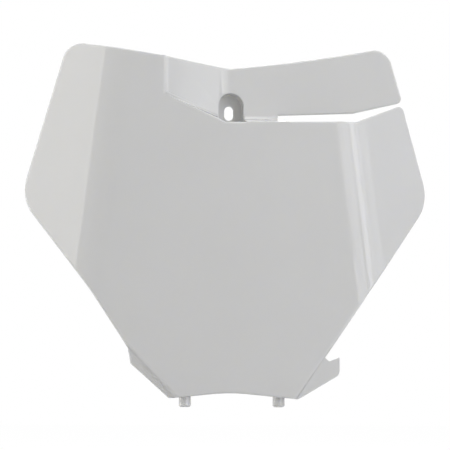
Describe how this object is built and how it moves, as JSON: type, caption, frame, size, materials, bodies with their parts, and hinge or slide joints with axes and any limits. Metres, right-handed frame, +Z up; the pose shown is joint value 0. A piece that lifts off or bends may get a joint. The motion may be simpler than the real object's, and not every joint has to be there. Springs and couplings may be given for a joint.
{
  "type": "motocross front number plate",
  "caption": "Blank white moulded plate with folded-back wings, a hose recess and slit at the top, a screw pocket and locating pegs at the bottom edge.",
  "frame": {"origin": "midway between the two locating pegs, at the level of the undersides of their brackets", "axes": "+Z up along the pegs, +Y from the front face back to the fork, +X to the right as seen from the front"},
  "size_m": [0.2828, 0.0375, 0.2521],
  "materials": {
    "plate": "white polypropylene straight from the mould, glossy front, no graphics"
  },
  "bodies": {
    "root": {"number_plate": "plate"}
  },
  "joints": []
}
